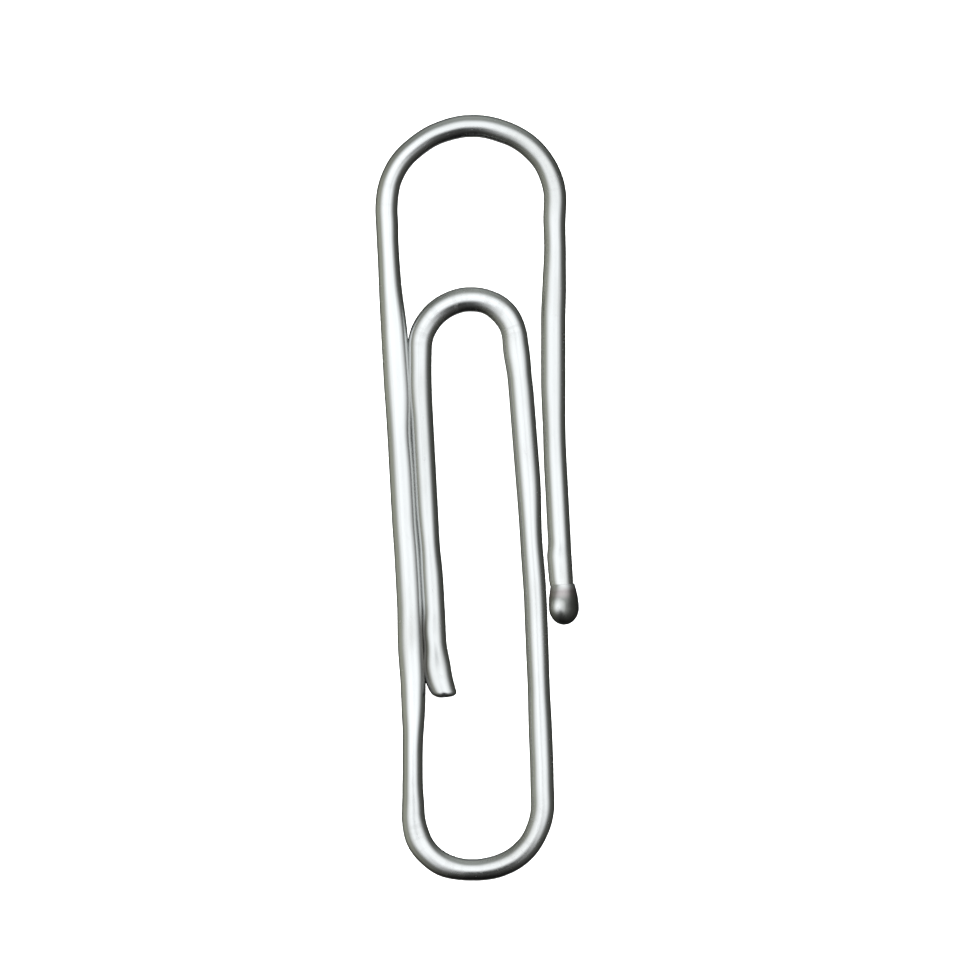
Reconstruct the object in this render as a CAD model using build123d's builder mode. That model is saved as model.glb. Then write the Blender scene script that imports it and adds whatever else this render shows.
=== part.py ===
from build123d import *
import os
from math import cos, radians, sin, tan

# A wire paper clip that lies flat, with its length along Y and its outer bend at +Y.
# One round wire is bent three times in one plane, and its outer end carries a bead.
# The wire is divided where it twists in use, at the crowns of its three bends.
# Its four stretches are the long leg, the outer leg, the inner leg and the tongue leg.

# Driving dimensions of the wire and the clip, in millimetres
clip_length = 33.0
wire_diameter = 0.96
mouth_setback = 7.46  # from the outer bend's crown down to the inner bend's crown
tongue_gap = 0.12  # clear space between the tongue leg and the long leg
bead_gap = 0.08  # clear space between the bead and the inner leg
outer_leg_gap = 0.43  # clear space between the outer and inner legs, where the outer leg is set

# Centreline radii of the bends, and the straight run at the crown of each
outer_bend_radius = 3.64
base_bend_radius = 2.44
inner_bend_radius = 2.12
inner_bend_tight_radius = 1.84
outer_crown_run = 0.20
base_crown_run = 0.30
inner_crown_run = 0.12

# Each leg has a slight set, a shallow bend between two straight runs with their own lean
set_radius = 40.0
long_leg_lean = 3.1
long_leg_low_run = 3.26  # straight, between the base bend and the set
inner_leg_top_lean = 4.5
inner_leg_low_lean = 2.2
inner_leg_set_height = 12.04  # above the base crown
tongue_top_run = 0.50  # straight, between the inner bend and the set
outer_leg_set_rise = 7.87  # above the middle of the bead

# The free tip of the tongue, turned away from the long leg and sheared across
tip_height = 7.45  # above the base crown
tip_lean = 19.0
tip_bend_radius = 6.0
tip_round = 0.26

# The bead, a ball that narrows to a neck, with a blind bore over the end of the wire
bead_height = 11.29  # above the base crown
bead_wall = 0.165  # around the bore, at the middle of the ball
bead_neck_length = 1.10  # from the middle of the ball to the neck's rim
bead_neck_wall = 0.03  # around the bore, at the neck's rim
bead_seat_depth = 0.95
bead_seat_clearance = 0.01

# Sizes that follow from the driving dimensions
wire_radius = wire_diameter / 2
bead_bore_radius = wire_radius + bead_seat_clearance
bead_radius = bead_bore_radius + bead_wall
bead_neck_radius = bead_bore_radius + bead_neck_wall
bead_seat_floor = bead_neck_length - bead_seat_depth


def slope(lean):
    """Sideways run for each millimetre along the clip, at a lean in degrees."""
    return tan(radians(lean))


def reach(turn):
    """How far a bend of unit radius reaches along its runs from their corner, for a turn in degrees."""
    return tan(radians(turn / 2))


# Levels of the three crowns on the wire's centreline, from the middle of the clip's length
outer_crown_y = clip_length / 2 - wire_radius
base_crown_y = -outer_crown_y
inner_crown_y = outer_crown_y - mouth_setback

# The long leg, measured across the clip from its straight lower run
long_leg_set_reach = set_radius * reach(long_leg_lean)
long_leg_set_y = base_crown_y + base_bend_radius + long_leg_low_run + long_leg_set_reach


def long_leg_x(y):
    """Where the leaning upper run of the long leg is at a level."""
    return (long_leg_set_y - y) * slope(long_leg_lean)


outer_left_corner_x = long_leg_x(outer_crown_y)
outer_left_turn = 90 + long_leg_lean
outer_crown_x = outer_left_corner_x + outer_bend_radius * reach(outer_left_turn) + outer_crown_run / 2
base_crown_x = base_bend_radius + base_crown_run / 2

# The tongue leg, which lies beside the long leg
tongue_set_y = inner_crown_y - inner_bend_radius - tongue_top_run - long_leg_set_reach


def tongue_leg_x(y):
    """Where the leaning run of the tongue leg is at a level."""
    return long_leg_x(y) + (wire_diameter + tongue_gap) / cos(radians(long_leg_lean))


tongue_top_x = tongue_leg_x(tongue_set_y)
tip_turn = tip_lean - long_leg_lean
tip_reach = tip_bend_radius * reach(tip_turn)
tip_y = base_crown_y + tip_height
tip_corner_y = tip_y + tip_reach * cos(radians(tip_lean))
tip_corner_x = tongue_leg_x(tip_corner_y)
tip_run = tip_reach + wire_diameter  # runs past the level where it is sheared

# The inner leg, from the inner bend down to the base bend
inner_crown_x = tongue_top_x + inner_bend_radius + inner_crown_run / 2
inner_right_turn = 90 - inner_leg_top_lean
inner_right_reach = inner_bend_tight_radius * reach(inner_right_turn)
inner_right_corner_x = inner_crown_x + inner_crown_run / 2 + inner_right_reach
inner_leg_set_y = base_crown_y + inner_leg_set_height
inner_leg_set_x = inner_right_corner_x + (inner_crown_y - inner_leg_set_y) * slope(inner_leg_top_lean)


def inner_leg_lean(y):
    """The lean of the inner leg's run at a level."""
    return inner_leg_top_lean if y > inner_leg_set_y else inner_leg_low_lean


def inner_leg_x(y):
    """Where the inner leg is at a level."""
    return inner_leg_set_x + (inner_leg_set_y - y) * slope(inner_leg_lean(y))


base_right_corner_x = inner_leg_x(base_crown_y)
base_right_turn = 90 + inner_leg_low_lean
base_right_reach = base_right_corner_x - base_crown_x - base_crown_run / 2
base_right_radius = base_right_reach / reach(base_right_turn)

# The bead beside the inner leg, and the outer leg that leads to it
bead_y = base_crown_y + bead_height
bead_pitch = wire_radius + bead_gap + bead_radius
bead_x = inner_leg_x(bead_y) + bead_pitch / cos(radians(inner_leg_lean(bead_y)))
outer_leg_set_y = bead_y + outer_leg_set_rise
outer_leg_pitch = wire_diameter + outer_leg_gap
outer_leg_x = inner_leg_x(outer_leg_set_y) + outer_leg_pitch / cos(radians(inner_leg_lean(outer_leg_set_y)))
outer_right_radius = outer_leg_x - outer_crown_x - outer_crown_run / 2

# The wire lies in one plane, as high as the bead's radius, with the clip's width centred on X
left_edge = outer_crown_x - outer_crown_run / 2 - outer_bend_radius - wire_radius
right_edge = bead_x + bead_radius
wire_plane = Plane(origin=(-(left_edge + right_edge) / 2, 0, bead_radius))

# Points that two stretches share
outer_crown = Vector(outer_crown_x, outer_crown_y)
base_crown = Vector(base_crown_x, base_crown_y)
inner_crown = Vector(inner_crown_x, inner_crown_y)
bead_middle = Vector(bead_x, bead_y)
outer_leg_set = Vector(outer_leg_x, outer_leg_set_y)
outer_leg_heading = (bead_middle - outer_leg_set).normalized()


def wire_stretch(points, radii):
    """A stretch of the wire: straight runs from point to point, with a tangent bend at each inner point."""
    route = [wire_plane.from_local_coords(point) for point in points]
    with BuildPart() as stretch:
        with BuildLine() as centreline:
            run_start = route[0]
            for before, corner, after, radius in zip(route, route[1:], route[2:], radii):
                heading = (corner - before).normalized()
                next_heading = (after - corner).normalized()
                turn = heading.get_signed_angle(next_heading, wire_plane.z_dir)
                bend_reach = radius * reach(abs(turn))
                bend_start = corner - heading * bend_reach
                Line(run_start, bend_start)
                JernArc(bend_start, heading, radius, turn)
                run_start = corner + next_heading * bend_reach
            Line(run_start, route[-1])
        with BuildSketch(Plane(origin=centreline.line @ 0, z_dir=centreline.line % 0)):
            Circle(wire_radius)
        sweep()
    return stretch.part


# Long leg, from the crown of the outer bend to the crown of the base bend
with BuildPart() as long_leg:
    add(
        wire_stretch(
            [
                outer_crown,
                Vector(outer_left_corner_x, outer_crown_y),
                Vector(0, long_leg_set_y),
                Vector(0, base_crown_y),
                base_crown,
            ],
            [outer_bend_radius, set_radius, base_bend_radius],
        )
    )
long_leg.part.label = "long_leg"

# Outer leg, from the crown of the outer bend to the floor of the bead's bore
with BuildPart() as outer_leg:
    add(
        wire_stretch(
            [
                outer_crown,
                Vector(outer_leg_x, outer_crown_y),
                outer_leg_set,
                bead_middle - outer_leg_heading * bead_seat_floor,
            ],
            [outer_right_radius, set_radius],
        )
    )
outer_leg.part.label = "outer_leg"

# Inner leg, from the crown of the base bend to the crown of the inner bend
with BuildPart() as inner_leg:
    add(
        wire_stretch(
            [
                base_crown,
                Vector(base_right_corner_x, base_crown_y),
                Vector(inner_leg_set_x, inner_leg_set_y),
                Vector(inner_right_corner_x, inner_crown_y),
                inner_crown,
            ],
            [base_right_radius, set_radius, inner_bend_tight_radius],
        )
    )
inner_leg.part.label = "inner_leg"

# Tongue leg, from the crown of the inner bend to its turned tip, sheared across the clip and rounded off
with BuildPart() as tongue_leg:
    add(
        wire_stretch(
            [
                inner_crown,
                Vector(tongue_top_x, inner_crown_y),
                Vector(tongue_top_x, tongue_set_y),
                Vector(tip_corner_x, tip_corner_y),
                Vector(
                    tip_corner_x + tip_run * sin(radians(tip_lean)),
                    tip_corner_y - tip_run * cos(radians(tip_lean)),
                ),
            ],
            [inner_bend_radius, set_radius, tip_bend_radius],
        )
    )
    split(bisect_by=Plane(origin=(0, tip_y, 0), z_dir=(0, 1, 0)), keep=Keep.TOP)
    fillet(tongue_leg.faces().sort_by(Axis.Y)[0].edges(), tip_round)
tongue_leg.part.label = "tongue_leg"

# Bead, turned about the outer leg's axis, with its ball at the end and its neck towards the leg
bead_plane = Plane(
    origin=wire_plane.from_local_coords(bead_middle),
    x_dir=Vector(-outer_leg_heading.Y, outer_leg_heading.X),
    z_dir=(0, 0, 1),
)
with BuildPart() as end_bead:
    with BuildSketch(bead_plane):
        with BuildLine():
            Line((0, -bead_radius), (0, bead_seat_floor))
            Line((0, bead_seat_floor), (bead_bore_radius, bead_seat_floor))
            Line((bead_bore_radius, bead_seat_floor), (bead_bore_radius, bead_neck_length))
            Line((bead_bore_radius, bead_neck_length), (bead_neck_radius, bead_neck_length))
            TangentArc((bead_radius, 0), (bead_neck_radius, bead_neck_length), tangent=(0, 1))
            TangentArc((bead_radius, 0), (0, -bead_radius), tangent=(0, -1))
        make_face()
    revolve(axis=Axis(bead_plane.origin, bead_plane.y_dir))
end_bead.part.label = "end_bead"

os.makedirs("parts", exist_ok=True)
for piece in (long_leg, outer_leg, inner_leg, tongue_leg, end_bead):
    export_step(piece.part, f"parts/{piece.part.label}.step")
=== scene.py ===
import cmath
from math import ceil, cos, pi, radians, sin, tan

import bpy
import numpy as np
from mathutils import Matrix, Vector


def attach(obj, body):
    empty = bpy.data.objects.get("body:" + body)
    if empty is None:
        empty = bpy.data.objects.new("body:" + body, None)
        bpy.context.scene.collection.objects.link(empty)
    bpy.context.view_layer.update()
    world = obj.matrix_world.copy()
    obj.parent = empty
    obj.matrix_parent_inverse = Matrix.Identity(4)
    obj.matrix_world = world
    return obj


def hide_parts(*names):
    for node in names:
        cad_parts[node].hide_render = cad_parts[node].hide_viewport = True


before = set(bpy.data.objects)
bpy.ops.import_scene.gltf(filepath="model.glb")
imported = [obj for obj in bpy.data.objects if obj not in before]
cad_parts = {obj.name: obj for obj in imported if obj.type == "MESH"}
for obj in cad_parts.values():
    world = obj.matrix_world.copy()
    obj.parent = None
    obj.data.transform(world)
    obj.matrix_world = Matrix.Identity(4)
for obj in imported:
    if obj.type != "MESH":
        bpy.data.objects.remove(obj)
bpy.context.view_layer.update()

# A wire paper clip that lies flat, with its length along Y and its outer bend at +Y.
# One plated wire runs from the bead at its outer end, round three bends, to the sheared tip of its tongue.
# Sizes are in millimetres until a mesh is made, and a point in the clip's plane is a complex number.
mm = 0.001
straight_up = (0, 0, 1)
wire_diameter = 0.96
wire_radius = wire_diameter / 2
clip_length = 33.0

# Centreline radii of the bends, and the straight run at the crown of each
outer_left_radius = 3.64
base_left_radius = 2.44
inner_left_radius = 2.12
inner_right_radius = 1.84
set_radius = 40.0
outer_crown_run = 0.20
base_crown_run = 0.30
inner_crown_run = 0.12

# Levels of the crowns, and the lean of each leg in degrees
mouth_setback = 7.46
outer_crown_y = clip_length / 2 - wire_radius
base_crown_y = -outer_crown_y
inner_crown_y = outer_crown_y - mouth_setback
long_leg_lean = 3.1
inner_leg_top_lean = 4.5
inner_leg_low_lean = 2.2
tip_lean = 19.0

# Clear spaces between neighbouring legs, and where each leg takes its slight set
tongue_gap = 0.12
bead_gap = 0.08
outer_leg_gap = 0.43
long_leg_low_run = 3.26
tongue_top_run = 0.50
inner_leg_set_height = 12.04
outer_leg_set_rise = 7.87

# The bead's ball, its neck and its blind bore, along the wire from the middle of the ball
bead_height = 11.29
bead_radius = 0.655
bead_bore_radius = 0.49
bead_neck_radius = 0.51
bead_neck_length = 1.02
bead_bottom_length = 0.74
bead_lean = 0.32
bead_bore_floor = 0.15

# The tip of the tongue, sheared across the clip, with one corner worn off by the cutter
tip_height = 7.45
tip_bend_radius = 6.0
tip_round = 0.26
tip_overrun = 0.05
tip_shear = 13.0
tip_shear_length = 1.1
tip_bevel_length = 0.85
tip_bevel_depth = 0.42

# How finely the wire and the bead are drawn
wire_sides = 56
ring_spacing = 0.09
shortest_run = 0.009
smoothing_length = 1.6
tip_rings = 9
bead_sides = 72
bead_ball_rings = 28
bead_shoulder_rings = 24
bead_rim_rings = 9

# The fine unevenness of the drawn wire
unevenness_depth = 0.012
unevenness_length = 5.0
unevenness_detail = 1.0
unevenness_seed = 4.0


def slope(lean):
    """Sideways run for each millimetre along the clip, at a lean in degrees."""
    return tan(radians(lean))


def reach(turn):
    """How far a bend of unit radius reaches along its runs from their corner, for a turn in degrees."""
    return tan(radians(turn / 2))


# Where each leg runs, measured across the clip from the long leg's straight lower run
set_reach = set_radius * reach(long_leg_lean)
long_leg_set_y = base_crown_y + base_left_radius + long_leg_low_run + set_reach
tongue_set_y = inner_crown_y - inner_left_radius - tongue_top_run - set_reach


def long_leg_x(y):
    """Where the leaning upper run of the long leg is at a level."""
    return (long_leg_set_y - y) * slope(long_leg_lean)


def tongue_leg_x(y):
    """Where the leaning run of the tongue leg is at a level."""
    return long_leg_x(y) + (wire_diameter + tongue_gap) / cos(radians(long_leg_lean))


outer_left_x = long_leg_x(outer_crown_y)
outer_crown_x = outer_left_x + outer_left_radius * reach(90 + long_leg_lean) + outer_crown_run / 2
base_crown_x = base_left_radius + base_crown_run / 2
tongue_top_x = tongue_leg_x(tongue_set_y)
tip_y = base_crown_y + tip_height
tip_reach = tip_bend_radius * reach(tip_lean - long_leg_lean)
tip_corner_y = tip_y + tip_reach * cos(radians(tip_lean))
tip_corner = complex(tongue_leg_x(tip_corner_y), tip_corner_y)
inner_crown_x = tongue_top_x + inner_left_radius + inner_crown_run / 2
inner_right_reach = inner_right_radius * reach(90 - inner_leg_top_lean)
inner_right_x = inner_crown_x + inner_crown_run / 2 + inner_right_reach
inner_leg_set_y = base_crown_y + inner_leg_set_height
inner_leg_set_x = inner_right_x + (inner_crown_y - inner_leg_set_y) * slope(inner_leg_top_lean)


def inner_leg_lean(y):
    """The lean of the inner leg's run at a level."""
    return inner_leg_top_lean if y > inner_leg_set_y else inner_leg_low_lean


def inner_leg_x(y):
    """Where the inner leg is at a level."""
    return inner_leg_set_x + (inner_leg_set_y - y) * slope(inner_leg_lean(y))


def beside_inner_leg(y, pitch):
    """Where a neighbour of the inner leg is at a level, at a pitch between their centrelines."""
    return inner_leg_x(y) + pitch / cos(radians(inner_leg_lean(y)))


base_right_x = inner_leg_x(base_crown_y)
base_right_radius = (base_right_x - base_crown_x - base_crown_run / 2) / reach(90 + inner_leg_low_lean)
bead_y = base_crown_y + bead_height
bead_middle = complex(beside_inner_leg(bead_y, wire_radius + bead_gap + bead_radius), bead_y)
outer_leg_set_y = bead_y + outer_leg_set_rise
outer_leg_x = beside_inner_leg(outer_leg_set_y, wire_diameter + outer_leg_gap)
outer_leg_set = complex(outer_leg_x, outer_leg_set_y)
outer_right_radius = outer_leg_x - outer_crown_x - outer_crown_run / 2
bead_heading = (outer_leg_set - bead_middle) / abs(outer_leg_set - bead_middle)

# The clip's width is centred on X, and the wire's plane is as high as the bead's radius
left_edge = outer_crown_x - outer_crown_run / 2 - outer_left_radius - wire_radius
right_edge = bead_middle.real + bead_radius
clip_middle_x = (left_edge + right_edge) / 2
wire_plane_z = bead_radius

# Points that two stretches share, and the bead's place, its axis up the leg and its right side
outer_crown = complex(outer_crown_x, outer_crown_y)
base_crown = complex(base_crown_x, base_crown_y)
inner_crown = complex(inner_crown_x, inner_crown_y)
bead_place = Vector((bead_middle.real - clip_middle_x, bead_middle.imag, wire_plane_z))
bead_axis = Vector((bead_heading.real, bead_heading.imag, 0))
bead_right = Vector((bead_heading.imag, -bead_heading.real, 0))

# The four stretches of the wire in order, each with its corners, its bend radii and its unevenness.
# A hump is where its middle is along the stretch, how long it is and how much it adds.
# Strays go to the right of the wire's travel, spreads are shares of the wire's width,
# and seam shades are shares of a painted shade on the wire's right side,
# where the tongue's tip lies in the shadowed seam beside the long leg.
wire_stretches = {
    "outer_leg": {
        "corners": [
            bead_middle + bead_heading * bead_bore_floor,
            outer_leg_set,
            complex(outer_leg_x, outer_crown_y),
            outer_crown,
        ],
        "radii": [set_radius, outer_right_radius],
        "strays": [
            (1.55, 2.4, -0.055),
            (4.6, 8.4, -0.045),
            (11.2, 9.0, -0.05),
            (14.4, 4.4, 0.03),
            (18.9, 5.0, 0.06),
            (20.7, 3.6, -0.033),
            (22.65, 4.0, -0.02),
        ],
        "spreads": [
            (1.55, 2.4, 0.10),
            (4.6, 8.4, 0.055),
            (11.2, 9.0, 0.12),
            (17.6, 3.6, 0.04),
            (20.6, 3.6, 0.04),
            (22.65, 4.0, 0.03),
        ],
    },
    "long_leg": {
        "corners": [
            outer_crown,
            complex(outer_left_x, outer_crown_y),
            complex(0, long_leg_set_y),
            complex(0, base_crown_y),
            base_crown,
        ],
        "radii": [outer_left_radius, set_radius, base_left_radius],
        "strays": [
            (0.0, 4.0, -0.02),
            (2.1, 3.8, -0.04),
            (4.0, 3.4, 0.03),
            (5.8, 3.0, -0.016),
            (12.4, 7.0, -0.045),
            (18.0, 20.0, -0.06),
            (18.6, 7.0, -0.025),
            (21.8, 5.4, -0.024),
            (23.8, 9.0, -0.035),
            (27.0, 4.6, -0.03),
            (29.8, 8.0, 0.02),
            (32.0, 3.0, -0.022),
            (33.7, 3.2, 0.05),
        ],
        "spreads": [
            (0.0, 4.0, 0.03),
            (5.8, 3.0, 0.03),
            (11.5, 8.0, 0.06),
            (12.4, 7.0, 0.10),
            (18.0, 20.0, 0.12),
            (18.6, 7.0, 0.05),
            (23.8, 9.0, 0.075),
            (26.0, 6.6, 0.08),
            (29.3, 4.4, -0.06),
            (32.4, 3.0, 0.06),
            (33.6, 4.0, 0.11),
        ],
    },
    "inner_leg": {
        "corners": [
            base_crown,
            complex(base_right_x, base_crown_y),
            complex(inner_leg_set_x, inner_leg_set_y),
            complex(inner_right_x, inner_crown_y),
            inner_crown,
        ],
        "radii": [base_right_radius, set_radius, inner_right_radius],
        "strays": [
            (1.0, 1.8, -0.018),
            (2.0, 3.4, 0.01),
            (4.4, 4.0, -0.02),
            (20.4, 10.0, 0.075),
            (25.0, 3.4, -0.02),
            (27.45, 4.0, -0.02),
        ],
        "spreads": [
            (1.6, 3.2, 0.05),
            (6.0, 9.0, 0.08),
            (13.0, 8.0, 0.05),
            (20.6, 10.0, 0.14),
            (24.9, 4.0, 0.15),
            (27.45, 5.0, 0.13),
        ],
    },
    "tongue_leg": {
        "corners": [
            inner_crown,
            complex(tongue_top_x, inner_crown_y),
            complex(tongue_top_x, tongue_set_y),
            tip_corner,
            tip_corner + (tip_reach + tip_overrun) * cmath.exp(1j * radians(tip_lean - 90)),
        ],
        "radii": [inner_left_radius, set_radius, tip_bend_radius],
        "strays": [
            (0.0, 4.0, -0.02),
            (1.6, 2.8, -0.02),
            (4.0, 5.0, 0.03),
            (8.5, 11.0, 0.028),
            (13.6, 7.2, -0.022),
            (14.2, 5.0, -0.01),
            (16.4, 3.6, 0.04),
            (17.9, 5.4, -0.065),
        ],
        "spreads": [
            (0.0, 9.0, 0.13),
            (4.0, 5.0, 0.06),
            (8.0, 11.0, 0.05),
            (13.6, 7.2, -0.05),
            (14.2, 5.0, 0.10),
            (16.4, 3.6, 0.08),
            (17.9, 3.8, 0.22),
        ],
        # Painted shade on the tongue's tip, in the shadowed seam beside the long leg
        "painted_seam_shades": [(16.3, 4.4, 1.0)],
    },
}


def course(corners, radii):
    """Places along the straight runs and tangent bends of a route, and how sharply it is bent at each."""
    places = [corners[0]]
    bends = [0.0]

    def run_to(end):
        """Continues straight to a place."""
        steps = max(1, ceil(abs(end - places[-1]) / ring_spacing))
        start = places[-1]
        for step in range(1, steps + 1):
            places.append(start + (end - start) * step / steps)
            bends.append(0.0)

    for before, corner, after, radius in zip(corners, corners[1:], corners[2:], radii):
        heading = (corner - before) / abs(corner - before)
        turn = cmath.phase((after - corner) / heading)
        bend_start = corner - heading * radius * tan(abs(turn) / 2)
        run_to(bend_start)
        side = 1j if turn > 0 else -1j
        steps = ceil(radius * abs(turn) / ring_spacing)
        for step in range(1, steps + 1):
            places.append(bend_start + heading * radius * (cmath.exp(1j * turn * step / steps) - 1) / side)
            bends.append(1 / radius)
    if abs(corners[-1] - places[-1]) > shortest_run:
        run_to(corners[-1])
    return np.array(places), np.array(bends)


def smooth(values):
    """Evens out a row of values over the smoothing length."""
    half = round(smoothing_length / ring_spacing / 2)
    window = np.hanning(2 * half + 3)[1:-1]
    return np.convolve(np.pad(values, half, mode="edge"), window / window.sum(), mode="valid")


def eased(share):
    """A share from none to one that starts and ends gently."""
    return share**2 * (3 - 2 * share)


def humps(hump_list, distances):
    """The sum of smooth humps at distances along a stretch, each flat over its middle third."""
    total = np.zeros(len(distances))
    for middle, length, amount in hump_list:
        from_end = length / 2 - abs(distances - middle)
        total += amount * eased(np.clip(from_end / (length / 3), 0, 1))
    return total


def stretch_route(name, along_start):
    """The stations of a stretch as a mesh of edges, with what the wire does at each kept as attributes."""
    stretch = wire_stretches[name]
    places, bends = course(stretch["corners"], stretch["radii"])
    distances = np.concatenate([[0], np.cumsum(abs(np.diff(places)))])
    headings = np.gradient(places)
    headings /= abs(headings)
    places = places - 1j * headings * humps(stretch["strays"], distances)
    features = {
        "along": (along_start + distances) * mm,
        "spread": 1 + humps(stretch["spreads"], distances),
        "bend": smooth(bends),
        # Share of painted seam shade at each station
        "painted_seam_shade": humps(stretch.get("painted_seam_shades", []), distances),
        "taper": np.ones(len(places)),
        "bevel": np.zeros(len(places)),
        "shear": np.zeros(len(places)),
    }
    if name == "tongue_leg":
        places, features = sheared_tip(places, distances, features)
    mesh = bpy.data.meshes.new(name + "_route")
    points = [((place.real - clip_middle_x) * mm, place.imag * mm, wire_plane_z * mm) for place in places]
    mesh.from_pydata(points, [(i, i + 1) for i in range(len(points) - 1)], [])
    for feature, values in features.items():
        attribute = mesh.attributes.new(feature, "FLOAT", "POINT")
        attribute.data.foreach_set("value", values.astype(np.float32))
    return mesh, along_start + distances[-1]


def sheared_tip(places, distances, features):
    """Ends the tongue with rings that round its edge, a cut across the clip and a worn corner."""
    length = distances[-1]
    kept = distances < length - tip_round
    turns = np.linspace(0, pi / 2, tip_rings)
    end_distances = length - tip_round * (1 - np.sin(turns))
    new_distances = np.concatenate([distances[kept], end_distances])
    across = np.interp(new_distances, distances, places.real)
    upwards = np.interp(new_distances, distances, places.imag)
    features = {name: np.interp(new_distances, distances, values) for name, values in features.items()}
    features["taper"][kept.sum():] = 1 - tip_round / wire_radius * (1 - np.cos(turns))
    to_cut = np.clip((new_distances - length + tip_shear_length) / tip_shear_length, 0, 1)
    features["shear"] = slope(tip_shear) * eased(to_cut)
    to_bevel = np.clip((new_distances - length + tip_bevel_length) / tip_bevel_length, 0, 1)
    features["bevel"] = tip_bevel_depth * (1 - np.sqrt(1 - to_bevel**2))
    return across + 1j * upwards, features


def make_node(tree, kind, inputs=None, **settings):
    """A node with its settings. Each input is given a constant, or linked to another node's output."""
    node = tree.nodes.new(kind)
    for name, value in settings.items():
        setattr(node, name, value)
    for name, value in (inputs or {}).items():
        if isinstance(value, bpy.types.NodeSocket):
            tree.links.new(value, node.inputs[name])
        else:
            node.inputs[name].default_value = value
    return node


def calculate(tree, operation, *values):
    """One step of arithmetic on numbers."""
    return make_node(tree, "ShaderNodeMath", dict(enumerate(values)), operation=operation).outputs[0]


def calculate_vector(tree, operation, *values):
    """One step of arithmetic on vectors, which gives a vector."""
    inputs = dict(enumerate(values))
    return make_node(tree, "ShaderNodeVectorMath", inputs, operation=operation).outputs["Vector"]


def scale_vector(tree, vector, factor):
    """A vector times a number."""
    inputs = {0: vector, "Scale": factor}
    return make_node(tree, "ShaderNodeVectorMath", inputs, operation="SCALE").outputs["Vector"]


def dot_product(tree, first, second):
    """How far one vector reaches along another."""
    inputs = {0: first, 1: second}
    return make_node(tree, "ShaderNodeVectorMath", inputs, operation="DOT_PRODUCT").outputs["Value"]


def combine(tree, x, y, z):
    """A vector from three numbers."""
    return make_node(tree, "ShaderNodeCombineXYZ", {"X": x, "Y": y, "Z": z}).outputs[0]


def route_feature(tree, name):
    """A number that the route keeps at each station, by its name."""
    return make_node(tree, "GeometryNodeInputNamedAttribute", {"Name": name}, data_type="FLOAT").outputs[0]


def remembering(tree, geometry, vectors):
    """Outputs of geometry that keeps named vectors through the steps that follow."""
    node = make_node(tree, "GeometryNodeCaptureAttribute", {"Geometry": geometry})
    for name in vectors:
        node.capture_items.new("VECTOR", name)
    for name, vector in vectors.items():
        tree.links.new(vector, node.inputs[name])
    return node.outputs


def plain_tube(tree, sizes, position):
    """A round tube along the route, and the middle, heading and section that its points remember."""
    curve = make_node(tree, "GeometryNodeMeshToCurve", {"Mesh": sizes["Route"]}).outputs[0]
    level = make_node(tree, "GeometryNodeSetCurveNormal", {"Curve": curve}, mode="Z_UP").outputs[0]
    tangent = make_node(tree, "GeometryNodeInputTangent").outputs[0]
    route = remembering(tree, level, {"Middle": position, "Heading": tangent})
    circle_sizes = {"Resolution": sizes["Sides"], "Radius": sizes["Wire Radius"]}
    circle = make_node(tree, "GeometryNodeCurvePrimitiveCircle", circle_sizes).outputs[0]
    section = remembering(tree, circle, {"Section": position})
    curves = {"Curve": route["Geometry"], "Profile Curve": section["Geometry"], "Fill Caps": True}
    tube = make_node(tree, "GeometryNodeCurveToMesh", curves).outputs[0]
    return tube, route["Middle"], route["Heading"], section["Section"]


def worked_offset(tree, offset, heading):
    """An offset from the wire's middle, once the wire is spread and its end is rounded, worn and sheared.

    The wire is a little thinner where it is spread."""
    spread = route_feature(tree, "spread")
    thickness = calculate(tree, "INVERSE_SQRT", spread)
    spread_offset = calculate_vector(tree, "MULTIPLY", offset, combine(tree, spread, spread, thickness))
    tapered = scale_vector(tree, spread_offset, route_feature(tree, "taper"))
    side = calculate_vector(tree, "CROSS_PRODUCT", heading, straight_up)
    on_worn_side = calculate(tree, "MAXIMUM", dot_product(tree, tapered, side), 0.0)
    wear = calculate(tree, "MULTIPLY", on_worn_side, route_feature(tree, "bevel"))
    worn = calculate_vector(tree, "SUBTRACT", tapered, scale_vector(tree, side, wear))
    lag = calculate(tree, "MULTIPLY", dot_product(tree, worn, side), route_feature(tree, "shear"))
    return calculate_vector(tree, "SUBTRACT", worn, scale_vector(tree, heading, lag))


def fine_hollow(tree, sizes, position, offset):
    """The fine unevenness of the wire, which only takes metal away and so keeps it inside its size."""
    fineness = calculate(tree, "DIVIDE", 1.0, sizes["Unevenness Length"])
    inputs = {"Vector": position, "W": sizes["Seed"], "Scale": fineness, "Detail": unevenness_detail}
    noise = make_node(tree, "ShaderNodeTexNoise", inputs, noise_dimensions="4D").outputs[0]
    depth = calculate(tree, "MULTIPLY", noise, sizes["Unevenness"])
    outwards = calculate_vector(tree, "NORMALIZE", offset)
    return scale_vector(tree, outwards, depth)


# The named inputs of the nodes that draw the wire
wire_inputs = {
    "Route": "NodeSocketGeometry",
    "Wire Radius": "NodeSocketFloat",
    "Sides": "NodeSocketInt",
    "Unevenness": "NodeSocketFloat",
    "Unevenness Length": "NodeSocketFloat",
    "Seed": "NodeSocketFloat",
    "Finish": "NodeSocketMaterial",
}


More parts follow.
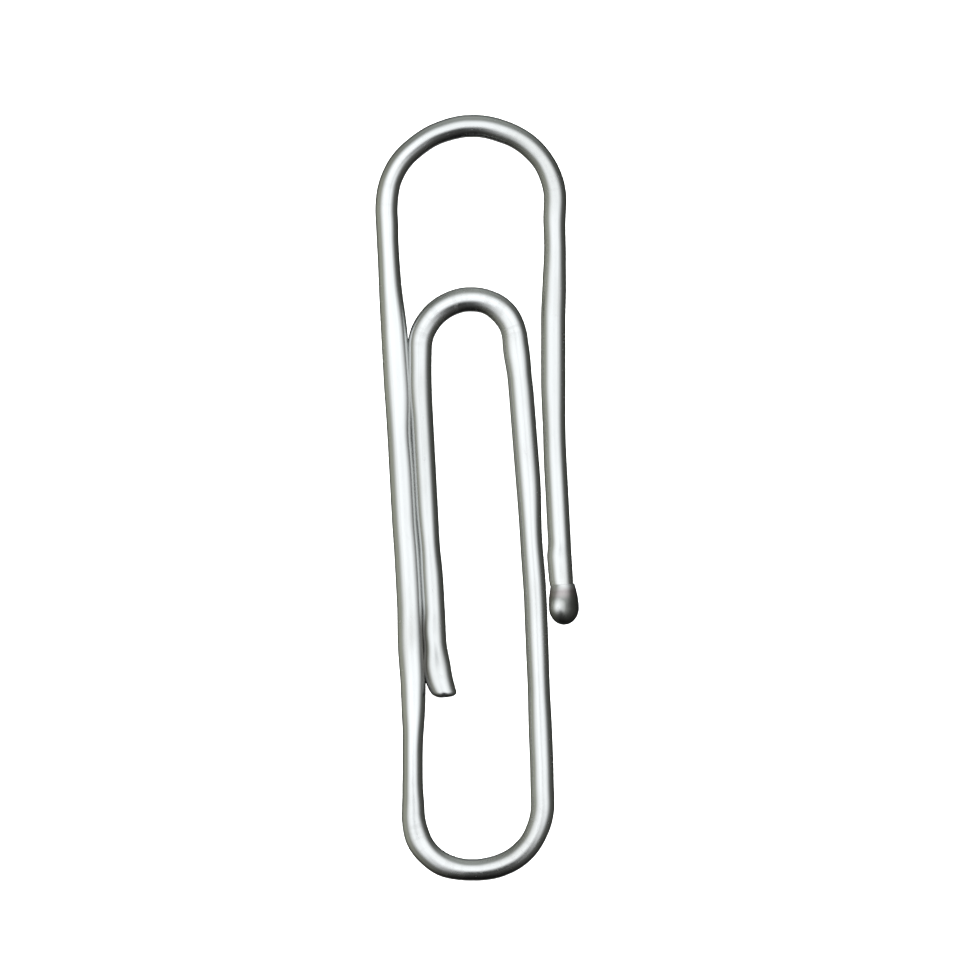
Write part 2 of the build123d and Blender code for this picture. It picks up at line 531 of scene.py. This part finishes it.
def drawn_wire_tree():
    """The nodes that draw a round wire along a route, with the widths and the cut kept on the route."""
    tree = bpy.data.node_groups.new("drawn_wire", "GeometryNodeTree")
    for name, kind in wire_inputs.items():
        tree.interface.new_socket(name, in_out="INPUT", socket_type=kind)
    tree.interface.new_socket("Wire", in_out="OUTPUT", socket_type="NodeSocketGeometry")
    sizes = make_node(tree, "NodeGroupInput").outputs
    position = make_node(tree, "GeometryNodeInputPosition").outputs[0]
    tube, middle, heading, section = plain_tube(tree, sizes, position)
    offset = calculate_vector(tree, "SUBTRACT", position, middle)
    worked = calculate_vector(tree, "ADD", middle, worked_offset(tree, offset, heading))
    place = calculate_vector(tree, "SUBTRACT", worked, fine_hollow(tree, sizes, position, offset))
    shaped = make_node(tree, "GeometryNodeSetPosition", {"Geometry": tube, "Position": place}).outputs[0]

    # Where each point was on the straight wire, for a finish that follows the drawing of the wire
    across = make_node(tree, "ShaderNodeSeparateXYZ", {0: section}).outputs
    drawn = combine(tree, across["X"], across["Y"], route_feature(tree, "along"))
    kept = make_node(
        tree,
        "GeometryNodeStoreNamedAttribute",
        {"Geometry": shaped, "Name": "drawn", "Value": drawn},
        data_type="FLOAT_VECTOR",
        domain="POINT",
    ).outputs[0]
    for name in ("along", "spread", "taper", "bevel", "shear"):
        kept = make_node(tree, "GeometryNodeRemoveAttribute", {"Geometry": kept, "Name": name}).outputs[0]
    realized = make_node(tree, "GeometryNodeRealizeInstances", {"Geometry": kept}).outputs[0]
    finish = {"Geometry": realized, "Material": sizes["Finish"]}
    finished = make_node(tree, "GeometryNodeSetMaterial", finish).outputs[0]
    make_node(tree, "NodeGroupOutput", {"Wire": finished})
    return tree


def drawn_wire(name, route, tree, sizes):
    """A stretch of the wire as a plain mesh, drawn along its route."""
    drawing = bpy.data.objects.new(name + "_drawing", route)
    bpy.context.scene.collection.objects.link(drawing)
    modifier = drawing.modifiers.new("drawn_wire", "NODES")
    modifier.node_group = tree
    for item in tree.interface.items_tree:
        if item.name in sizes:
            modifier[item.identifier] = sizes[item.name]
    depsgraph = bpy.context.evaluated_depsgraph_get()
    mesh = bpy.data.meshes.new_from_object(
        drawing.evaluated_get(depsgraph), preserve_all_data_layers=True, depsgraph=depsgraph
    )
    mesh.name = name + "_wire"
    bpy.data.objects.remove(drawing)
    bpy.data.meshes.remove(route)
    return mesh


def ringed_faces(rings, sides):
    """Faces from a first point out to a ring round it, and on from ring to ring."""
    faces = []
    for i in range(sides):
        j = (i + 1) % sides
        faces.append((0, 1 + i, 1 + j))
        for ring in range(rings - 1):
            low = 1 + ring * sides
            high = low + sides
            faces.append((low + i, high + i, high + j, low + j))
    return faces


def bead_outline():
    """The bead's half outline from its bottom, over the ball, the shoulder and the rim, to the bore's floor.

    Each place on it has a distance along the axis, a radius and a lean."""
    narrowing = bead_radius - bead_neck_radius
    rim_round = (bead_neck_radius - bead_bore_radius) / 2
    shoulder_length = bead_neck_length - rim_round
    shoulder_radius = (shoulder_length**2 + narrowing**2) / (2 * narrowing)
    outline = []
    for turn in np.linspace(-pi / 2, 0, bead_ball_rings):
        outline.append((bead_bottom_length * sin(turn), bead_radius * cos(turn), bead_lean))
    for along in np.linspace(0, shoulder_length, bead_shoulder_rings)[1:]:
        radius = bead_radius - shoulder_radius + (shoulder_radius**2 - along**2) ** 0.5
        outline.append((along, radius, bead_lean * (1 - along / shoulder_length)))
    for turn in np.linspace(0, pi, bead_rim_rings)[1:]:
        radius = bead_bore_radius + rim_round + rim_round * cos(turn)
        outline.append((shoulder_length + rim_round * sin(turn), radius, 0.0))
    outline.append((bead_bore_floor, bead_bore_radius, 0.0))
    outline.append((bead_bore_floor, 0.0, 0.0))
    return outline


def turned_bead(name):
    """The bead as a plain mesh, turned about the outer leg's axis."""
    outline = bead_outline()
    up = Vector(straight_up)
    points = [bead_place + bead_axis * outline[0][0]]
    for along, radius, lean in outline[1:-1]:
        for i in range(bead_sides):
            turn = 2 * pi * i / bead_sides
            across = (cos(turn) - lean * sin(turn)) / (1 + lean**2) ** 0.5
            points.append(bead_place + bead_axis * along + (bead_right * across + up * sin(turn)) * radius)
    last_ring = len(points) - bead_sides
    points.append(bead_place + bead_axis * outline[-1][0])
    faces = ringed_faces(len(outline) - 2, bead_sides)
    for i in range(bead_sides):
        faces.append((last_ring + i, len(points) - 1, last_ring + (i + 1) % bead_sides))
    mesh = bpy.data.meshes.new(name + "_turned")
    mesh.from_pydata([point * mm for point in points], [], faces)
    mesh.shade_smooth()
    return mesh


def noise_pattern(tree, vector, grains, detail):
    """A noise with a number of grains in a metre along each axis."""
    scaled = calculate_vector(tree, "MULTIPLY", vector, grains)
    inputs = {"Vector": scaled, "Scale": 1.0, "Detail": detail}
    return make_node(tree, "ShaderNodeTexNoise", inputs).outputs[0]


def remap(tree, value, old_range, new_range=(0.0, 1.0)):
    """A value moved from one range into another, and held inside it."""
    inputs = dict(enumerate([value, *old_range, *new_range]))
    return make_node(tree, "ShaderNodeMapRange", inputs, clamp=True).outputs[0]


def mix_colours(tree, share, first, second):
    """A blend of two colours, with a share of the second."""
    return make_node(tree, "ShaderNodeMix", {0: share, 6: first, 7: second}, data_type="RGBA").outputs[2]


def wire_attribute(tree, name):
    """Outputs of an attribute that the drawn wire keeps."""
    return make_node(tree, "ShaderNodeAttribute", attribute_name=name).outputs


def new_metal(name, edge_tint):
    """A metal with its own edge tint, its node tree and its shader."""
    material = bpy.data.materials.new(name)
    material.use_nodes = True
    shader = material.node_tree.nodes["Principled BSDF"]
    shader.inputs["Metallic"].default_value = 1.0
    shader.inputs["Specular Tint"].default_value = edge_tint
    return material, material.node_tree, shader


def add_relief(tree, shader, height, strength, distance):
    """Gives a shader fine relief, with a distance in millimetres."""
    inputs = {"Strength": strength, "Distance": distance * mm, "Height": height}
    bump = make_node(tree, "ShaderNodeBump", inputs)
    tree.links.new(bump.outputs[0], shader.inputs["Normal"])


# Colours of the plating and of the marks on it, and a near-black painted shade for the seam by the tongue's
# tip
plating_edge_tint = (0.25, 0.25, 0.24, 1)
plating_dim = (0.60, 0.61, 0.605, 1)
plating_bright = (0.68, 0.69, 0.685, 1)
mottle_colour = (0.50, 0.50, 0.475, 1)
die_line_colour = (0.46, 0.46, 0.45, 1)
bending_mark_colour = (0.40, 0.40, 0.39, 1)
painted_seam_shade_colour = (0.07, 0.062, 0.05, 1)

# Grains of the plating in a metre, across the wire both ways and along it
die_line_grains = (11000, 11000, 45)
mottle_grains = (1100, 1100, 260)
cloud_grains = (420, 420, 70)
bending_mark_grains = (900, 900, 4200)
scratch_grains = (13000, 13000, 800)
scratch_slant = (0.3, 0.2, 0.0)

# Where each mark on the plating starts and is full: bends by their sharpness, the painted seam shade by the
# wire's radius
cloud_range = (0.35, 0.65)
mottle_range = (0.5, 0.75)
mottle_roughness_range = (0.3, 0.7)
die_line_range = (0.55, 0.75)
scratch_range = (0.66, 0.74)
bend_range = (0.1, 0.5)
bending_mark_range = (0.52, 0.62)
painted_seam_shade_range = (0.40 * wire_radius * mm, 0.72 * wire_radius * mm)

# How much each mark changes the plating's colour, roughness and relief
mottle_share = 0.5
die_line_share = 0.35
bending_mark_share = 0.10
painted_seam_shade_share = 0.85
plating_roughness = (0.18, 0.26)
bending_mark_roughness = 0.06
scratch_roughness = 0.05
scratch_depth = 0.3
bending_mark_depth = 0.25
plating_relief = 0.35
plating_relief_distance = 0.0016


def plated_wire_finish():
    """Bright plating over drawn steel, with die lines, a soft mottle, bending marks, scratches and a painted
    shade in the seam beside the long leg.
    """
    material, tree, shader = new_metal("plated_wire", plating_edge_tint)
    drawn = wire_attribute(tree, "drawn")["Vector"]
    bent = remap(tree, wire_attribute(tree, "bend")["Fac"], bend_range)
    to_right = make_node(tree, "ShaderNodeSeparateXYZ", {0: drawn}).outputs["X"]
    # Painted shade on the right side of the tongue's tip, where it lies in the shadowed seam beside the long
    # leg
    on_right = remap(tree, to_right, painted_seam_shade_range)
    painted_seam_shade_mask = calculate(tree, "MULTIPLY", wire_attribute(tree, "painted_seam_shade")["Fac"], on_right)
    die_lines = noise_pattern(tree, drawn, die_line_grains, detail=3.0)
    mottle = noise_pattern(tree, drawn, mottle_grains, detail=2.0)
    cloud = noise_pattern(tree, drawn, cloud_grains, detail=1.0)
    bending_marks = noise_pattern(tree, drawn, bending_mark_grains, detail=1.0)
    marked = calculate(tree, "MULTIPLY", bent, remap(tree, bending_marks, bending_mark_range))
    slanted = make_node(tree, "ShaderNodeMapping", {"Vector": drawn, "Rotation": scratch_slant}).outputs[0]
    scratches = remap(tree, noise_pattern(tree, slanted, scratch_grains, detail=1.0), scratch_range)

    tone = mix_colours(tree, remap(tree, cloud, cloud_range), plating_dim, plating_bright)
    marks = [
        (remap(tree, mottle, mottle_range, (0.0, mottle_share)), mottle_colour),
        (remap(tree, die_lines, die_line_range, (0.0, die_line_share)), die_line_colour),
        (calculate(tree, "MULTIPLY", marked, bending_mark_share), bending_mark_colour),
        (calculate(tree, "MULTIPLY", painted_seam_shade_mask, painted_seam_shade_share), painted_seam_shade_colour),
    ]
    for share, colour in marks:
        tone = mix_colours(tree, share, tone, colour)
    tree.links.new(tone, shader.inputs["Base Color"])

    roughness = remap(tree, mottle, mottle_roughness_range, plating_roughness)
    for mark, amount in ((marked, bending_mark_roughness), (scratches, scratch_roughness)):
        roughness = calculate(tree, "ADD", roughness, calculate(tree, "MULTIPLY", mark, amount))
    tree.links.new(roughness, shader.inputs["Roughness"])

    relief = die_lines
    for mark, depth in ((scratches, scratch_depth), (marked, bending_mark_depth)):
        relief = calculate(tree, "SUBTRACT", relief, calculate(tree, "MULTIPLY", mark, depth))
    add_relief(tree, shader, relief, plating_relief, plating_relief_distance)
    return material


# Colours of the bead's metal and of the marks on it, with a painted highlight
bead_edge_tint = (0.15, 0.15, 0.15, 1)
bead_light = (0.325, 0.333, 0.315, 1)
bead_dark = (0.23, 0.235, 0.225, 1)
bead_shoulder_colour = (0.39, 0.362, 0.357, 1)
bead_rim_colour = (0.64, 0.65, 0.645, 1)
# A bright colour for the painted highlight on the ball
bead_painted_highlight_colour = (0.74, 0.75, 0.74, 1)
bead_pit_colour = (0.14, 0.14, 0.13, 1)

# Where the bead's marks are: up the leg from the ball's middle, or from the middle of a painted highlight on
# the ball's upper left
bead_shoulder_range = (0.46 * mm, 0.66 * mm)
bead_rim_range = (0.80 * mm, 1.02 * mm)
bead_mark_waviness = 0.16 * mm
painted_highlight_left = 0.27
painted_highlight_up_leg = 0.10
painted_highlight_rise = 0.55
painted_highlight_range = (0.08 * mm, 0.38 * mm)

# Grains of the bead's metal in a metre, and how its mottle and pits show
bead_pit_grains = (9000, 9000, 9000)
bead_mottle_grains = (2600, 2600, 2600)
bead_mottle_range = (0.35, 0.7)
bead_mottle_roughness_range = (0.3, 0.7)
bead_roughness = (0.30, 0.40)
bead_pit_range = (0.62, 0.72)
bead_pit_share = 0.4
bead_relief = 0.5
bead_relief_distance = 0.006


def bead_finish():
    """Dull grey metal with small pits, a painted highlight on its bulge, warm at its shoulder, bright at its
    rim.
    """
    material, tree, shader = new_metal("dull_bead", bead_edge_tint)
    place = make_node(tree, "ShaderNodeTexCoord").outputs["Object"]
    pits = noise_pattern(tree, place, bead_pit_grains, detail=3.0)
    mottle = noise_pattern(tree, place, bead_mottle_grains, detail=2.0)
    up_the_leg = dot_product(tree, calculate_vector(tree, "SUBTRACT", place, bead_place * mm), bead_axis)
    wavy = calculate(tree, "ADD", up_the_leg, calculate(tree, "MULTIPLY", mottle, bead_mark_waviness))
    # A painted highlight: a bright spot high on the ball's left, where the light's reflection falls
    painted_highlight_middle = bead_place - bead_right * painted_highlight_left + bead_axis * painted_highlight_up_leg
    painted_highlight_middle += Vector(straight_up) * painted_highlight_rise
    from_painted_highlight = calculate_vector(tree, "SUBTRACT", place, painted_highlight_middle * mm)
    painted_highlight_distance = calculate(tree, "SQRT", dot_product(tree, from_painted_highlight, from_painted_highlight))

    tone = mix_colours(tree, remap(tree, mottle, bead_mottle_range), bead_light, bead_dark)
    marks = [
        (remap(tree, wavy, bead_shoulder_range), bead_shoulder_colour),
        (remap(tree, wavy, bead_rim_range), bead_rim_colour),
        (remap(tree, painted_highlight_distance, painted_highlight_range, (1.0, 0.0)), bead_painted_highlight_colour),
        (remap(tree, pits, bead_pit_range, (0.0, bead_pit_share)), bead_pit_colour),
    ]
    for share, colour in marks:
        tone = mix_colours(tree, share, tone, colour)
    tree.links.new(tone, shader.inputs["Base Color"])
    roughness = remap(tree, mottle, bead_mottle_roughness_range, bead_roughness)
    tree.links.new(roughness, shader.inputs["Roughness"])
    add_relief(tree, shader, mottle, bead_relief, bead_relief_distance)
    return material


# The white board's finish
board_colour = (0.85, 0.85, 0.85, 1)
board_roughness = 0.9
board_gloss = 0.1


def board_finish():
    """A matt white board."""
    material = bpy.data.materials.new("white_board")
    material.use_nodes = True
    shader = material.node_tree.nodes["Principled BSDF"]
    shader.inputs["Base Color"].default_value = board_colour
    shader.inputs["Roughness"].default_value = board_roughness
    shader.inputs["Specular IOR Level"].default_value = board_gloss
    return material


def show_piece(name, mesh, body, node):
    """Puts a finished mesh in the scene, on its body and in place of its CAD node."""
    piece = bpy.data.objects.new(name, mesh)
    bpy.context.scene.collection.objects.link(piece)
    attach(piece, body)
    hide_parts(node)
    return piece


# The wire, stretch by stretch, so that its finish runs on from one to the next.
# The two right legs and the bead, which lie close together, stay out of the metal's reflections.
unreflected_legs = ("outer_leg", "inner_leg")
wire_tree = drawn_wire_tree()
wire_sizes = {
    "Wire Radius": wire_radius * mm,
    "Sides": wire_sides,
    "Unevenness": unevenness_depth * mm,
    "Unevenness Length": unevenness_length * mm,
    "Seed": unevenness_seed,
    "Finish": plated_wire_finish(),
}
along_wire = 0.0
for name in wire_stretches:
    route, along_wire = stretch_route(name, along_wire)
    wire_mesh = drawn_wire(name, route, wire_tree, wire_sizes)
    leg = show_piece("plated_" + name, wire_mesh, name, name)
    leg.visible_glossy = name not in unreflected_legs

# The bead on the end of the outer leg
bead_mesh = turned_bead("end_bead")
bead_mesh.materials.append(bead_finish())
bead = show_piece("turned_end_bead", bead_mesh, "outer_leg", "end_bead")
bead.visible_glossy = False

# A white board that rises at its rim, so that it fills every view, with its sizes in metres.
# It lies below the clip, with room for the legs to swing down.
board_drop = 3.4 * mm
board_flat_radius = 0.8
board_rise_radius = 0.6
board_rings = 24
board_sides = 96
board_points = [(0, 0, -board_drop)]
for ring in range(board_rings):
    turn = ring / (board_rings - 1) * pi / 2
    radius = board_flat_radius + board_rise_radius * sin(turn)
    height = board_rise_radius * (1 - cos(turn)) - board_drop
    for i in range(board_sides):
        angle = 2 * pi * i / board_sides
        board_points.append((radius * cos(angle), radius * sin(angle), height))
board_mesh = bpy.data.meshes.new("white_board")
board_mesh.from_pydata(board_points, [], ringed_faces(board_rings, board_sides))
board_mesh.shade_smooth()
board_mesh.materials.append(board_finish())
board = bpy.data.objects.new("white_board", board_mesh)
bpy.context.scene.collection.objects.link(board)
board.visible_glossy = False

# A light tent that the metal reflects: a broad bright roof with a dark gap in front, dim sides and front
# corners, a light strip of floor in front and a faint floor.
# Places on the roof are given by the tilt of a surface that shows them to a viewer straight above.
roof_colour = (1.56, 1.60, 1.635)
roof_middle = (0.003, 0.063, 0)
roof_reach = (0.465, 0.374, 1)
roof_edge = 2.2
gap_middle = (0.065, -0.262, 0)
gap_reach = (0.175, 0.195, 1)
gap_edge = 2.0
tent_sides = {
    (-1, 0, 0): (0.41, 0.42, 0.35),
    (1, 0, 0): (0.09, 0.093, 0.083),
    (0, 1, 0): (0.445, 0.475, 0.45),
}
side_falloff = 3.2
tent_corners = {
    (-0.64, -0.64, 0.42): (0.13, 0.131, 0.12),
    (0.64, -0.64, 0.42): (0.065, 0.065, 0.062),
}
corner_falloff = 8.0
front_floor = {(0, -0.37, -0.93): (0.95, 0.955, 0.95)}
front_floor_falloff = 14.0
floor_colour = (0.15, 0.15, 0.15)
floor_range = (-0.55, -0.9)


def soft_patch(tree, tilt, middle, size, edge):
    """The share of a soft round patch of the roof at each tilt, from one at its middle to none."""
    offset = calculate_vector(tree, "SUBTRACT", tilt, middle)
    share = calculate_vector(tree, "DIVIDE", offset, size)
    past_edge = calculate(tree, "POWER", dot_product(tree, share, share), edge)
    return calculate(tree, "EXPONENT", calculate(tree, "MULTIPLY", past_edge, -1.0))


def lit_side(tree, direction, towards, colour, falloff):
    """Light from one side of the tent, which fades away from it."""
    facing = calculate(tree, "MAXIMUM", dot_product(tree, direction, towards), 0.0)
    return scale_vector(tree, colour, calculate(tree, "POWER", facing, falloff))


def light_tent():
    """The world that holds the light tent."""
    world = bpy.data.worlds.new("light_tent")
    world.use_nodes = True
    tree = world.node_tree
    direction = make_node(tree, "ShaderNodeTexCoord").outputs["Generated"]
    halfway = calculate_vector(tree, "NORMALIZE", calculate_vector(tree, "ADD", direction, straight_up))
    tilt = calculate_vector(tree, "MULTIPLY", halfway, (1, 1, 0))
    beside_gap = calculate(tree, "SUBTRACT", 1.0, soft_patch(tree, tilt, gap_middle, gap_reach, gap_edge))
    on_roof = soft_patch(tree, tilt, roof_middle, roof_reach, roof_edge)
    light = scale_vector(tree, roof_colour, calculate(tree, "MULTIPLY", on_roof, beside_gap))
    sides = [(tent_sides, side_falloff), (tent_corners, corner_falloff), (front_floor, front_floor_falloff)]
    for places, falloff in sides:
        for towards, colour in places.items():
            side_light = lit_side(tree, direction, towards, colour, falloff)
            light = calculate_vector(tree, "ADD", light, side_light)
    floor_share = remap(tree, dot_product(tree, direction, straight_up), floor_range)
    light = calculate_vector(tree, "ADD", light, scale_vector(tree, floor_colour, floor_share))
    tree.links.new(light, tree.nodes["Background"].inputs["Color"])
    return world


bpy.context.scene.world = light_tent()

# A wide soft lamp that lights the board and stays out of the metal's reflections, in metres and watts
lamp_width = 6.0
lamp_power = 270.0
lamp_height = 1.0
lamp_data = bpy.data.lights.new("board_lamp", "AREA")
lamp_data.shape = "DISK"
lamp_data.size = lamp_width
lamp_data.energy = lamp_power
lamp = bpy.data.objects.new("board_lamp", lamp_data)
lamp.location = (0, 0, lamp_height)
lamp.visible_camera = False
lamp.visible_glossy = False
bpy.context.scene.collection.objects.link(lamp)

# A camera straight above, with a long lens
view_span = 41.325 * mm
view_middle = (0.127 * mm, 0.768 * mm)
lens_length = 200
sensor_width = 36
nearest_view = 0.01
camera_data = bpy.data.cameras.new("camera")
camera_data.lens = lens_length
camera_data.sensor_width = sensor_width
camera_data.clip_start = nearest_view
camera = bpy.data.objects.new("camera", camera_data)
camera_distance = view_span * lens_length / sensor_width
camera.location = (*view_middle, wire_plane_z * mm + camera_distance)
bpy.context.scene.collection.objects.link(camera)
bpy.context.scene.camera = camera
bpy.context.scene.view_settings.view_transform = "Standard"
